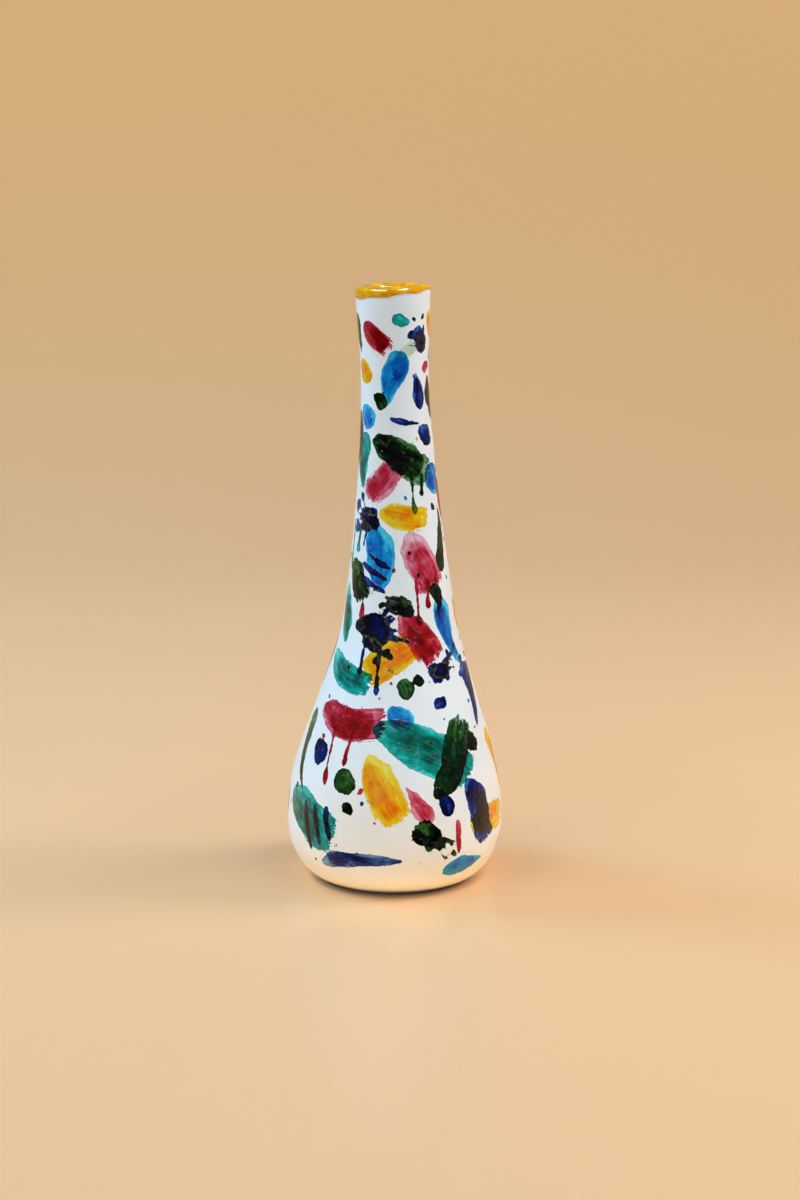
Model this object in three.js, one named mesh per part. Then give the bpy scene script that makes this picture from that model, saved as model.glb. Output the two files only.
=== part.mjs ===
// Oil cruet: a thrown clay bottle that stands on a bare foot ring, with a white glaze outside,
// a white lining glaze that keeps the oil out of the clay, and a yellow glaze brushed over the lip.
// Millimetres, +Z up. The origin is the centre of the foot, on the surface that it stands on.

import * as THREE from "three";

// Heights of the finished bottle. The neck takes up what the other heights leave.
const height = 260; // foot to the top of the lip glaze
const bellyHeight = 26; // foot to the widest place
const flankRise = 26; // widest place to the flank
const shoulderRise = 40; // flank to the shoulder
const neckRise = 28; // shoulder to the foot of the neck
const throatDepth = 32; // where the lip begins to the narrowest place of the neck
const lipRise = 1.7; // where the lip begins to the crest of its white glaze

// Radii of the finished bottle
const footRadius = 28; // outer edge of the flat ring that it stands on
const bellyRadius = 46.8;
const flankRadius = 43.8;
const shoulderRadius = 30.9;
const neckRadius = 23.9; // at the foot of the neck
const throatRadius = 14.5;
const lipRadius = 15.9; // white glaze where the lip begins

// How fast the radius falls with height, where the outline slopes
const flankSlope = 0.27;
const shoulderSlope = 0.325;
const neckSlope = 0.14;

// Wall, floor and foot
const wall = 5.7; // glazed inside to glazed outside, measured level
const floorHeight = 8; // foot to the glazed floor inside
const footWidth = 6; // flat ring of bare clay
const footRecess = 2; // hollow under the bottle, inside the ring
const bareFoot = 0.2; // turn of the heel that the white glaze leaves bare, radians

// Glazes
const glaze = 0.6; // white coats
const lipGlaze = 0.65; // yellow coat
const layerGap = 0.1; // clearance between one fired layer and the next
const coatStop = 0.09; // turn that each white coat stops short of the lip's crest, radians
const bandReach = 5.05; // yellow coat, from the crest down the outside
const bandDroop = 1.45; // how much further it runs on its low side, and less on its high side
const bandRipple = 0.35; // brush marks along its edge
const bandInside = 5.5; // yellow coat, from the crest down into the mouth
const bandEdge = 0.5; // bevel at the coat's edges

// The hand-thrown lean: how far the axis stands off at two levels
const leanAtNeck = 2.1;
const leanAtLip = -0.6;
const leanAtLipSlope = -0.012;

// Directions round the axis, radians from +X
const lowSide = Math.PI; // where the yellow coat runs lowest
const brushMark = (-50 * Math.PI) / 180; // where one of its brush marks hangs lowest
const rippleWaves = 7;

// Facets
const segments = 40; // round the axis
const heelSteps = 6;
const bodySteps = [3, 2, 3, 4, 3]; // belly to flank, shoulder, neck, throat and lip
const lipSteps = 4; // half of the lip's rounded top
const coatSteps = 10; // across the yellow coat

// Places that follow from the sizes
const flankHeight = bellyHeight + flankRise;
const shoulderHeight = flankHeight + shoulderRise;
const neckHeight = shoulderHeight + neckRise;
const footHole = footRadius - footWidth;
const coat = glaze + layerGap; // from a glazed face to the clay under it
const lipHalf = wall / 2; // half the glazed lip's thickness
const lipHeight = height - lipGlaze - layerGap - lipRise; // where the lip begins
const lipMiddle = lipRadius - lipHalf;
const throatHeight = lipHeight - throatDepth;

const point = (r, z) => new THREE.Vector2(r, z);

// The curve between two stations of an outline, each with a place and a slope.
// Its control points are evenly spaced in height, so equal steps are equal rises.
function stretch(from, to) {
  const third = (to.z - from.z) / 3;
  return new THREE.CubicBezierCurve(
    point(from.r, from.z),
    point(from.r + from.slope * third, from.z + third),
    point(to.r - to.slope * third, to.z - third),
    point(to.r, to.z),
  );
}

// Stations of the glazed outside, or of a face that lies a level distance inside it
function stations(inside) {
  return [
    { z: bellyHeight, r: bellyRadius - inside, slope: 0 },
    { z: flankHeight, r: flankRadius - inside, slope: -flankSlope },
    { z: shoulderHeight, r: shoulderRadius - inside, slope: -shoulderSlope },
    { z: neckHeight, r: neckRadius - inside, slope: -neckSlope },
    { z: throatHeight, r: throatRadius - inside, slope: 0 },
    { z: lipHeight, r: lipRadius - inside, slope: 0 },
  ];
}

// Places and directions along a curve
function trace(curve, steps) {
  return Array.from({ length: steps + 1 }, (_, i) => ({
    at: curve.getPoint(i / steps),
    along: curve.getTangent(i / steps),
  }));
}

// A wall of the bottle from its heel up to the lip
function wallTrace(inside, heel) {
  const places = stations(inside);
  const flow = places.slice(1).map((to, i) => trace(stretch(places[i], to), bodySteps[i]));
  return [...trace(heel, heelSteps), ...flow.flatMap((piece) => piece.slice(1))];
}

// A wall moved square to itself, towards the axis where depth is positive
function moved(wallPlaces, depth) {
  return wallPlaces.map(({ at, along }) => point(at.x - along.y * depth, at.y + along.x * depth));
}

// The lip's rounded top at a depth under its white glaze, between two turns from the outside to the inside
function lipCurve(depth, from, to) {
  return new THREE.EllipseCurve(lipMiddle, lipHeight, lipHalf - depth, lipRise - depth, from, to, from > to);
}

function lipArc(depth, from, to, steps) {
  return lipCurve(depth, from, to).getPoints(steps);
}

// Sideways stand-off of the bottle's axis at a level
function lean(z) {
  if (z <= bellyHeight) return 0;
  const belly = { z: bellyHeight, r: 0, slope: 0 };
  const neck = { z: neckHeight, r: leanAtNeck, slope: 0 };
  const lip = { z: height, r: leanAtLip, slope: leanAtLipSlope };
  const [from, to] = z < neckHeight ? [belly, neck] : [neck, lip];
  return stretch(from, to).getPoint((z - from.z) / (to.z - from.z)).x;
}

// A solid turned about the leaning axis. The outline may change with the angle, as a brushed edge does.
function turned(outlineAt) {
  const geometry = new THREE.LatheGeometry(outlineAt(0), segments);
  const place = geometry.getAttribute("position");
  for (let column = 0; column <= segments; column++) {
    const angle = ((column % segments) / segments) * 2 * Math.PI;
    const outline = outlineAt(angle);
    outline.forEach(({ x: r, y: z }, row) => {
      const vertex = column * outline.length + row;
      place.setXYZ(vertex, r * Math.cos(angle) + lean(z), r * Math.sin(angle), z);
    });
  }
  geometry.deleteAttribute("uv");
  geometry.computeVertexNormals();
  return geometry;
}

const outsideHeel = new THREE.EllipseCurve(
  footRadius,
  bellyHeight,
  bellyRadius - footRadius,
  bellyHeight,
  bareFoot - Math.PI / 2,
  0,
);
const insideHeel = new THREE.EllipseCurve(
  footRadius - wall,
  bellyHeight,
  bellyRadius - footRadius,
  bellyHeight - floorHeight,
  -Math.PI / 2,
  0,
);
const outside = wallTrace(0, outsideHeel);
const inside = wallTrace(wall, insideHeel);
const upright = Math.PI / 2;

// Clay shell: recess, bare foot ring, outside, round lip, inside and floor
function clayOutline() {
  const floor = floorHeight - coat;
  return [
    point(0, footRecess),
    point(footHole - footRecess, footRecess),
    point(footHole, 0),
    point(footRadius, 0),
    ...moved(outside, coat),
    ...lipArc(coat, 0, Math.PI, 2 * lipSteps).slice(1, -1),
    ...moved(inside, -coat).reverse(),
    point(0, floor),
  ];
}

// White glaze outside: its shown face up, over the lip, and back down along the clay
function outerGlazeOutline() {
  const stop = upright - coatStop;
  return [
    ...moved(outside, 0),
    ...lipArc(0, 0, stop, lipSteps).slice(1),
    ...lipArc(glaze, stop, 0, lipSteps).slice(0, -1),
    ...moved(outside, glaze).reverse(),
    outside[0].at,
  ];
}

// Lining glaze: along the clay from the floor up, over the lip, and back down inside
function liningOutline() {
  const stop = upright + coatStop;
  return [
    point(0, floorHeight - glaze),
    ...moved(inside, -glaze),
    ...lipArc(glaze, Math.PI, stop, lipSteps).slice(1),
    ...lipArc(0, stop, Math.PI, lipSteps).slice(0, -1),
    ...moved(inside, 0).reverse(),
    point(0, floorHeight),
  ];
}

// A place over the lip: how far along the yellow coat's seat from the crest, outwards positive,
// and how far off that seat
const seatWay = lipCurve(-layerGap, 0, upright).getLength(); // from the crest to where the lip begins
function onLip(along, lift) {
  const turn = upright * Math.min(Math.abs(along) / seatWay, 1);
  const below = Math.max(Math.abs(along) - seatWay, 0);
  return point(
    lipMiddle + Math.sign(along) * (lipHalf + layerGap + lift) * Math.sin(turn),
    lipHeight + (lipRise + layerGap + lift) * Math.cos(turn) - below,
  );
}

// Yellow lip glaze: its seat from outside to inside, then its shown face back again
function lipGlazeOutline(angle) {
  const droop = bandDroop * Math.cos(angle - lowSide);
  const ripple = bandRipple * Math.cos(rippleWaves * (angle - brushMark));
  const reach = bandReach + droop + ripple;
  const across = (from, to, lift) =>
    Array.from({ length: coatSteps + 1 }, (_, i) => onLip(from + ((to - from) * i) / coatSteps, lift));
  const shown = across(reach - bandEdge, bandEdge - bandInside, lipGlaze);
  const seat = across(-bandInside, reach, 0);
  return [...shown, ...seat, shown[0]];
}

function piece(name, outlineAt, color, roughness) {
  const material = new THREE.MeshStandardMaterial({ color, roughness, metalness: 0 });
  const mesh = new THREE.Mesh(turned(outlineAt), material);
  mesh.name = name;
  return mesh;
}

const cruet = new THREE.Group();
cruet.name = "oil_cruet";
cruet.add(
  piece("clay_body", clayOutline, "#c8a383", 0.9),
  piece("outer_glaze", outerGlazeOutline, "#e9ebeb", 0.2),
  piece("lining_glaze", liningOutline, "#e4e2dc", 0.25),
  piece("lip_glaze", lipGlazeOutline, "#e3a708", 0.2),
);

export default cruet;
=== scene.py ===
import math
import random
from collections import namedtuple

import bpy
import numpy as np
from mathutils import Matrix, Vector


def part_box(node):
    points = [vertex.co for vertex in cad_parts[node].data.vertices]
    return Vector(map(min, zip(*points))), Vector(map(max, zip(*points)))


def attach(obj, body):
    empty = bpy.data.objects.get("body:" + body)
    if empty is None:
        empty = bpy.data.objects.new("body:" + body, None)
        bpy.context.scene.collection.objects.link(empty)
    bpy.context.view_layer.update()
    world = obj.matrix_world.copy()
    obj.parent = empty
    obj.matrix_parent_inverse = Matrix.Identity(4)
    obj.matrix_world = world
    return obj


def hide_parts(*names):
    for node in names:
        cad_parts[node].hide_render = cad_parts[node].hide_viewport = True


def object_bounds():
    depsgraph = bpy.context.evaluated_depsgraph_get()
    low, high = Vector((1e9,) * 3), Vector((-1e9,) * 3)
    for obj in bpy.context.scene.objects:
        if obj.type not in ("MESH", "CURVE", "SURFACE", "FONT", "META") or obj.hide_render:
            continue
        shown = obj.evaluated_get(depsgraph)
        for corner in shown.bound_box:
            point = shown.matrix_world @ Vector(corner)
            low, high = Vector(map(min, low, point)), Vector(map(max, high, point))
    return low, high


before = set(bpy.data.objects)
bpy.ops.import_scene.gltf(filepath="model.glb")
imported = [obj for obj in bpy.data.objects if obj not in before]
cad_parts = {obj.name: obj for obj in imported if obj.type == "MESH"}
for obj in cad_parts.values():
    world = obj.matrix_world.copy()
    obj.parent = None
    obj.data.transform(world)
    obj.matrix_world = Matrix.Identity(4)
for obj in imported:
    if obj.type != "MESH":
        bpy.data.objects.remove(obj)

bl_info = {
    "name": "Oil cruet",
    "version": (1, 0, 0),
    "blender": (4, 5, 0),
    "location": "View3D > Sidebar > Cruet",
    "description": "Dresses the oil cruet's frame with its clay, its glazes and its brushed colours",
    "category": "Add Mesh",
}

MM = 0.001
CAD_LOW, CAD_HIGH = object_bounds()
GLAZE_LOW, GLAZE_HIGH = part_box("outer_glaze")


def linear(code):
    """A colour written as sRGB hex, as the linear RGBA that shaders take."""
    shares = [int(code[i : i + 2], 16) / 255 for i in (1, 3, 5)]
    return tuple(s / 12.92 if s <= 0.04045 else ((s + 0.055) / 1.055) ** 2.4 for s in shares) + (1.0,)


def length(name, description, millimetres):
    """A size that the panel shows as a length."""
    settings = {"subtype": "DISTANCE", "unit": "LENGTH", "precision": 4}
    return bpy.props.FloatProperty(name=name, description=description, default=millimetres * MM, **settings)


def angle(name, description, degrees):
    """A turn that the panel shows in degrees."""
    return bpy.props.FloatProperty(
        name=name, description=description, default=math.radians(degrees), subtype="ANGLE", unit="ROTATION"
    )


def number(name, description, value):
    """A share, slope or strength."""
    return bpy.props.FloatProperty(name=name, description=description, default=value, precision=3)


def colour(name, description, code):
    """A colour that the panel shows as a swatch."""
    return bpy.props.FloatVectorProperty(
        name=name, description=description, default=linear(code), size=4, min=0, max=1, subtype="COLOR"
    )


class CruetShape(bpy.types.PropertyGroup):
    """The finished bottle's sizes, its height and width from the frame."""

    height: length("Height", "Foot to the top of the lip glaze", CAD_HIGH.z / MM)
    belly_radius: length("Belly radius", "At the widest place", (GLAZE_HIGH.x - GLAZE_LOW.x) / 2 / MM)
    belly_height: length("Belly height", "Foot to the widest place", 26)
    flank_height: length("Flank height", "Foot to the flank", 52)
    flank_radius: length("Flank radius", "At the flank", 43.8)
    flank_slope: number("Flank slope", "How fast the radius falls at the flank", 0.27)
    shoulder_height: length("Shoulder height", "Foot to the shoulder", 92)
    shoulder_radius: length("Shoulder radius", "At the shoulder", 30.9)
    shoulder_slope: number("Shoulder slope", "How fast the radius falls at the shoulder", 0.325)
    neck_height: length("Neck height", "Foot of the bottle to the foot of the neck", 120)
    neck_radius: length("Neck radius", "At the foot of the neck", 23.9)
    neck_slope: number("Neck slope", "How fast the radius falls at the foot of the neck", 0.14)
    throat_depth: length("Throat depth", "Where the lip begins down to the narrowest place", 32)
    throat_radius: length("Throat radius", "At the narrowest place", 14.5)
    lip_radius: length("Lip radius", "White glaze where the lip begins", 15.9)
    lip_rise: length("Lip rise", "Where the lip begins to the crest of its white glaze", 1.7)
    foot_radius: length("Foot radius", "Outer edge of the flat ring that it stands on", 28)
    foot_width: length("Foot width", "Flat ring of bare clay", 6)
    foot_recess: length("Foot recess", "Hollow under the bottle, inside the ring", 2)
    bare_foot: angle("Bare foot", "Turn of the heel that the white glaze leaves bare", 11.5)
    wall: length("Wall", "Glazed inside to glazed outside, measured level", 5.7)
    floor_height: length("Floor height", "Foot to the glazed floor inside", 8)
    glaze: length("White glaze", "Thickness of the white coats", 0.6)
    lip_glaze: length("Lip glaze", "Thickness of the yellow coat", 0.65)
    layer_gap: length("Layer gap", "Clearance between one fired layer and the next", 0.1)
    coat_stop: angle("Coat stop", "Turn that each white coat stops short of the lip's crest", 5)
    band_reach: length("Band reach", "Yellow coat, from the crest down the outside", 5.05)
    band_droop: length("Band droop", "How much further it runs on its low side", 1.45)
    band_ripple: length("Band ripple", "Brush marks along its edge", 0.35)
    band_waves: number("Band waves", "How many brush marks go round that edge", 7)
    band_inside: length("Band inside", "Yellow coat, from the crest down into the mouth", 5.5)
    band_low_side: angle("Band low side", "Where the yellow coat runs lowest, from +X", 180)
    band_mark: angle("Band mark", "Where one of its brush marks hangs lowest, from +X", -50)
    lean_at_neck: length("Lean at the neck", "How far the axis stands off at the foot of the neck", 2.1)
    lean_at_lip: length("Lean at the lip", "How far the axis stands off at the lip", -0.6)
    lean_slope: number("Lean slope", "How the lean still changes at the lip", -0.012)
    mouth_tilt: angle("Mouth tilt", "How far the mouth dips to the left", 2.1)
    mouth_pitch: angle("Mouth pitch", "How far the mouth dips to the back", 2.5)
    unevenness: length("Unevenness", "Swells and hollows that the hands left in the wall", 0.45)
    swell_size: length("Swell size", "Across one of those swells", 28)
    lip_lumps: length("Lip lumps", "Swells and hollows that the brush left in the yellow coat", 0.45)
    lip_lump_size: length("Lip lump size", "Across one of those lumps", 5)


class CruetColours(bpy.types.PropertyGroup):
    """Colours of the clay, the glazes and the brushed stains, thin and thick."""

    white: colour("White glaze", "Where the white glaze lies thick", "#ebedee")
    white_thin: colour("Thin white glaze", "Where the white glaze lies thin", "#dfe2e2")
    lining: colour("Lining", "Glaze inside the bottle", "#e2e0d9")
    clay: colour("Clay", "Bare fired clay", "#c9a684")
    clay_dark: colour("Dark clay", "Grit and damp marks in the bare clay", "#9a7354")
    lip_thin: colour("Thin lip glaze", "Yellow glaze where it lies thin", "#fab200")
    lip_thick: colour("Thick lip glaze", "Yellow glaze where it pooled", "#c87a00")
    yellow: colour("Yellow", "What one coat of the yellow stain makes of white", "#fcc000")
    teal: colour("Teal", "What one coat of the teal stain makes of white", "#08a094")
    sky: colour("Sky blue", "What one coat of the sky-blue stain makes of white", "#0896d6")
    crimson: colour("Crimson", "What one coat of the crimson stain makes of white", "#be223a")
    cobalt: colour("Cobalt", "What one coat of the cobalt stain makes of white", "#062672")
    green: colour("Green", "What one coat of the green stain makes of white", "#1f4a18")


class CruetStage(bpy.types.PropertyGroup):
    """The plain stage and the camera's place."""

    floor: colour("Floor", "Plain pale floor and backdrop", "#e9b585")
    backdrop: colour("Backdrop", "Even tone that the camera sees far behind the bottle", "#d6ad7a")
    backdrop_near: length("Backdrop near", "Where the floor begins to fade into that tone", 500)
    backdrop_far: length("Backdrop far", "Where the floor has that tone all over", 1700)
    left_power: number("Left power", "Watts of the soft light from the left", 14.0)
    right_power: number("Right power", "Watts of the soft light from the right", 10.0)
    front_power: number("Front power", "Watts of the broad light over the camera", 72.0)
    top_power: number("Top power", "Watts of the two strip lights overhead", 20.0)
    glint_power: number("Glint power", "Watts overhead that only the gloss shows", 36.0)
    glow_power: number("Glow power", "Watts of the warm light off the floor on the belly", 0.3)
    glow_width: length("Glow width", "Across the lit floor that gives that light", 420)
    lamp_aim: length("Lamp aim", "Level that the lamps point at", 130)
    room_strength: number("Room light", "Strength of the even light all round", 0.14)
    distance: length("Distance", "Camera to the middle of the bottle", 1300)
    elevation: angle("Elevation", "Camera above the horizon", 12)
    aim_height: length("Aim height", "Level that the camera looks at", 123.1)
    aim_side: length("Aim side", "How far right of the bottle's axis the camera looks", 2.4)
    lens: number("Lens", "Focal length in millimetres on a 36 mm long side", 89.9)


Station = namedtuple("Station", "r z slope")
Run = namedtuple("Run", "start start_handle end_handle end")
Mark = namedtuple("Mark", "pigment kind azimuth height right up length width turn bend load")
Lamp = namedtuple("Lamp", "name place size power tone lit mirrored")

PIGMENTS = ("yellow", "teal", "sky", "crimson", "cobalt", "green")
UPRIGHT = math.pi / 2
MERGE = 0.01 * MM  # points nearer than this become one

# How finely each piece is turned: the step along its profile, and the columns round it
CLAY_STEP, CLAY_COLUMNS = 1.6 * MM, 144
GLAZE_STEP, GLAZE_COLUMNS = 1.1 * MM, 336
GLAZE_BACK_STEP, GLAZE_EDGE_STEP = 7 * MM, 0.2 * MM
LINING_STEP, LINING_COLUMNS = 2 * MM, 128
LIP_STEP, LIP_COLUMNS = 0.5 * MM, 168
FOOT_FADE = 8  # steps in which the wall's swells fade out towards the foot
CAGE_LEVELS = 53  # levels of the cage that bends a turned piece
CAGE_ROOM = 1.08  # how much larger than the bottle that cage is

# Brush marks, in millimetres, degrees and shares of a mark's size
FAR = 30.0  # further than any mark's edge matters
MARGIN = 5.0  # room round a mark in which its edge is worked out
RUN_TOGETHER = 1.2  # between wet marks that join
SOFT_EDGE = 0.8  # width over which one coat heaps up on another
WASH_PASSES = (1.0, 0.84, 0.6)  # sizes of a wash's passes
WASH_SLIP, WASH_SIDE = 0.5, 0.6  # how far a pass slips along and across, of what it leaves bare
WASH_SWAY = 8  # how far a pass may turn
COMB_STAGGER, COMB_BEND = 0.14, 8  # how a comb's strokes differ in length, and their bend
DRIP_BROADER, DRIP_SWAY = 0.15, 3  # how much broader every second drip is, and how far drips lean
LOBES, FINGERS, FLUNG = 3, 6, 6  # a splash's lobes, fingers and drops
FINGER_SPREAD, FINGER_WIDTH = 34, 1.4  # how the fingers fan out, and the least width of one
DROP_SIZE, DROP_SPREAD, DROP_STRETCH = 1.3, 2.6, 1.7  # least drop, how much larger some are, and how long
HAND_SWAY, HAND_WAVES = 0.05, 7  # how far a stroke sways off its line, of its width, and how fast
COAT_LEAST, COAT_SPREAD, COAT_GRADE = 0.8, 0.6, 0.35  # how coats differ, and differ along a stroke


def lip_begin(shape):
    """Middle of the lip's wall, at the level where its rounded top begins."""
    crest = shape.height - shape.lip_glaze - shape.layer_gap
    return Vector((shape.lip_radius - shape.wall / 2, crest - shape.lip_rise))


def stations(shape, inside=0.0):
    """Places of the outline from the belly up, or of a face that lies a level distance inside it."""
    lip = lip_begin(shape).y
    return [
        Station(shape.belly_radius - inside, shape.belly_height, 0),
        Station(shape.flank_radius - inside, shape.flank_height, -shape.flank_slope),
        Station(shape.shoulder_radius - inside, shape.shoulder_height, -shape.shoulder_slope),
        Station(shape.neck_radius - inside, shape.neck_height, -shape.neck_slope),
        Station(shape.throat_radius - inside, lip - shape.throat_depth, 0),
        Station(shape.lip_radius - inside, lip, 0),
    ]


def stretch(lower, upper):
    """The smooth run between two stations."""
    third = (upper.z - lower.z) / 3
    return Run(
        Vector((lower.r, lower.z)),
        Vector((lower.r + lower.slope * third, lower.z + third)),
        Vector((upper.r - upper.slope * third, upper.z - third)),
        Vector((upper.r, upper.z)),
    )


def arc(centre, radii, begin, end):
    """A round or oval run between two turns."""
    reach = 4 / 3 * math.tan((end - begin) / 4)

    def place(turn):
        return centre + Vector((radii[0] * math.cos(turn), radii[1] * math.sin(turn)))

    def way(turn):
        return Vector((-radii[0] * math.sin(turn), radii[1] * math.cos(turn))) * reach

    return Run(place(begin), place(begin) + way(begin), place(end) - way(end), place(end))


def lip_arc(shape, depth, begin, end):
    """The lip's rounded top at a depth under its white glaze, between two turns from the outside in."""
    return arc(lip_begin(shape), (shape.wall / 2 - depth, shape.lip_rise - depth), begin, end)


def line(start, end):
    """A straight run."""
    start, end = Vector(start), Vector(end)
    return Run(start, start.lerp(end, 1 / 3), start.lerp(end, 2 / 3), end)


def backwards(runs):
    """The same runs, drawn from the other end."""
    return [Run(r.end, r.end_handle, r.start_handle, r.start) for r in reversed(runs)]


def wall_runs(shape, inside=0.0):
    """The side of the bottle from the belly up to the lip."""
    places = stations(shape, inside)
    return [stretch(low, high) for low, high in zip(places, places[1:])]


def outside_heel(shape, inset=0.0):
    """The round heel from the edge of the white glaze up to the belly."""
    radii = (shape.belly_radius - shape.foot_radius - inset, shape.belly_height - inset)
    return arc(Vector((shape.foot_radius, shape.belly_height)), radii, shape.bare_foot - UPRIGHT, 0)


def inside_heel(shape, outset=0.0):
    """The round turn between the floor and the side, inside the bottle."""
    wide = shape.belly_radius - shape.foot_radius + outset
    tall = shape.belly_height - shape.floor_height + outset
    return arc(Vector((shape.foot_radius - shape.wall, shape.belly_height)), (wide, tall), -UPRIGHT, 0)


def run_length(run):
    """About how long a run is."""
    hull = (run.start_handle - run.start).length + (run.end_handle - run.start_handle).length
    return ((run.end - run.start).length + hull + (run.end - run.end_handle).length) / 2


def draw_profile(name, runs, step):
    """Draws runs as curves in the XZ plane and makes them one chain of edges."""
    bpy.ops.object.select_all(action="DESELECT")
    bpy.ops.curve.primitive_bezier_curve_add()
    profile = bpy.context.object
    profile.name = name
    profile.data.name = name
    profile.data.splines.clear()
    for run in runs:
        spline = profile.data.splines.new("BEZIER")
        spline.bezier_points.add(1)
        spline.resolution_u = max(2, round(run_length(run) / step))
        ends = ((run.start, run.start_handle), (run.end, run.end_handle))
        for point, (place, handle) in zip(spline.bezier_points, ends):
            point.handle_left_type = point.handle_right_type = "FREE"
            point.co = (place.x, 0, place.y)
            point.handle_left = point.handle_right = (handle.x, 0, handle.y)
    bpy.ops.object.convert(target="MESH")
    return bpy.context.object


def turn_on_wheel(columns):
    """Spins the active profile all the way round and closes its seam and poles."""
    bpy.ops.object.mode_set(mode="EDIT")
    bpy.ops.mesh.select_all(action="SELECT")
    bpy.ops.mesh.remove_doubles(threshold=MERGE)
    bpy.ops.mesh.spin(steps=columns, angle=math.tau, center=(0, 0, 0), axis=(0, 0, 1))
    bpy.ops.mesh.select_all(action="SELECT")
    bpy.ops.mesh.remove_doubles(threshold=MERGE)
    bpy.ops.mesh.normals_make_consistent(inside=False)
    bpy.ops.object.mode_set(mode="OBJECT")
    bpy.ops.object.shade_smooth()


def add_modifier(piece, kind, **settings):
    """Adds a modifier to the active piece and applies it."""
    bpy.context.view_layer.objects.active = piece
    bpy.ops.object.modifier_add(type=kind)
    modifier = piece.modifiers[-1]
    for key, value in settings.items():
        setattr(modifier, key, value)
    bpy.ops.object.modifier_apply(modifier=modifier.name)


def points_of(piece):
    """A piece's points, one row each."""
    places = np.empty(len(piece.data.vertices) * 3)
    piece.data.vertices.foreach_get("co", places)
    return places.reshape(-1, 3)


def add_swells(piece, size, strength, group=""):
    """Pushes a piece's surface in and out in soft swells."""
    swells = bpy.data.textures.new(piece.name + "_swells", "CLOUDS")
    swells.noise_scale = size
    swells.noise_depth = 1
    settings = {"texture": swells, "texture_coords": "LOCAL", "strength": strength, "mid_level": 0.5}
    add_modifier(piece, "DISPLACE", vertex_group=group, **settings)
    bpy.data.textures.remove(swells)


def lean(shape, z):
    """Sideways stand-off of the hand-thrown axis at a level."""
    if z <= shape.belly_height:
        return 0.0
    belly = Station(0, shape.belly_height, 0)
    neck = Station(shape.lean_at_neck, shape.neck_height, 0)
    lip = Station(shape.lean_at_lip, shape.height, shape.lean_slope)
    low, high = (belly, neck) if z < neck.z else (neck, lip)
    run = stretch(low, high)
    t = min(1.0, (z - low.z) / (high.z - low.z))
    s = 1 - t
    return s**3 * run[0].x + 3 * s * s * t * run[1].x + 3 * s * t * t * run[2].x + t**3 * run[3].x


def settle_by_hand(piece, shape):
    """Gives a turned piece the uneven wall, the lean and the tilted mouth of a hand-thrown bottle."""
    # The foot stays flat
    walls = piece.vertex_groups.new(name="walls")
    heights = points_of(piece)[:, 2] / shape.floor_height
    reached = np.clip(np.floor(heights * FOOT_FADE), 0, FOOT_FADE)
    for step in range(1, FOOT_FADE + 1):
        walls.add(np.flatnonzero(reached == step).tolist(), step / FOOT_FADE, "REPLACE")
    add_swells(piece, shape.swell_size, shape.unevenness, walls.name)
    piece.vertex_groups.clear()
    bpy.ops.object.add(type="LATTICE", location=(0, 0, shape.height / 2))
    cage = bpy.context.object
    across = 2 * CAGE_ROOM * shape.belly_radius
    cage.scale = (across, across, CAGE_ROOM * shape.height)
    grid = cage.data
    grid.points_u, grid.points_v, grid.points_w = 2, 2, CAGE_LEVELS
    grid.interpolation_type_u = grid.interpolation_type_v = "KEY_LINEAR"
    grid.interpolation_type_w = "KEY_CATMULL_ROM"
    throat = stations(shape)[-2].z
    for point in grid.points:
        level = point.co.z * cage.scale.z + cage.location.z
        share = min(1.0, max(0.0, (level - throat) / (shape.height - throat)))
        tilt = point.co.x * cage.scale.x * math.tan(shape.mouth_tilt)
        pitch = point.co.y * cage.scale.y * math.tan(shape.mouth_pitch)
        rise = (tilt - pitch) * share**2
        point.co_deform.x += lean(shape, min(level, shape.height)) / cage.scale.x
        point.co_deform.z += rise / cage.scale.z
    piece.select_set(True)
    add_modifier(piece, "LATTICE", object=cage)
    bpy.data.objects.remove(cage)


def stroke(pigment, kind, azimuth, height, length, width, turn=0.0, bend=0.0, right=0.0, up=0.0, load=1.0):
    """One brush mark, in degrees and millimetres. Azimuth is from the front to the right. The turn is the
    way that the brush went at the middle of the mark: 0 is down, 90 is to the right and 180 is up. The bend
    is how far it turned on its way. Right and up move the mark from that place along the bottle's surface.
    The load is how much colour the brush held."""
    return Mark(pigment, kind, azimuth, height, right, up, length, width, turn, bend, load)


def offset(way, turn):
    """How far right and up a way in one direction leads."""
    return way * math.sin(math.radians(turn)), -way * math.cos(math.radians(turn))


def wash(pigment, kind, azimuth, height, length, width, turn, bend, seed, load=0.6):
    """A watery mark, laid in thin passes that don't quite cover each other."""
    draw = random.Random(seed)
    made = []
    for share in WASH_PASSES:
        slip = offset((1 - share) * length * draw.uniform(-WASH_SLIP, WASH_SLIP), turn)
        side = offset((1 - share) * width * draw.uniform(-WASH_SIDE, WASH_SIDE), turn + 90)
        place = (slip[0] + side[0], slip[1] + side[1])
        sway = turn + draw.uniform(-WASH_SWAY, WASH_SWAY)
        size = (length * share, width * share)
        made.append(stroke(pigment, kind, azimuth, height, *size, sway, bend, *place, load))
    return made


def comb(pigment, azimuth, height, length, width, count, spacing, turn):
    """Thin strokes side by side."""
    made = []
    for i in range(count):
        place = offset((i - (count - 1) / 2) * spacing, turn + 90)
        run = length * (1 - COMB_STAGGER * (i % 3))
        made.append(stroke(pigment, "streak", azimuth, height, run, width, turn, COMB_BEND, *place))
    return made


def drips(pigment, azimuth, height, lengths, width, spacing):
    """Thin runs of colour that end in a drop."""
    made = []
    for i, run in enumerate(lengths):
        broad = width * (1 + DRIP_BROADER * (i % 2))
        sway = DRIP_SWAY * (-1) ** i
        made.append(stroke(pigment, "drip", azimuth, height, run, broad, sway, 0, i * spacing, -run / 2))
    return made


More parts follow.
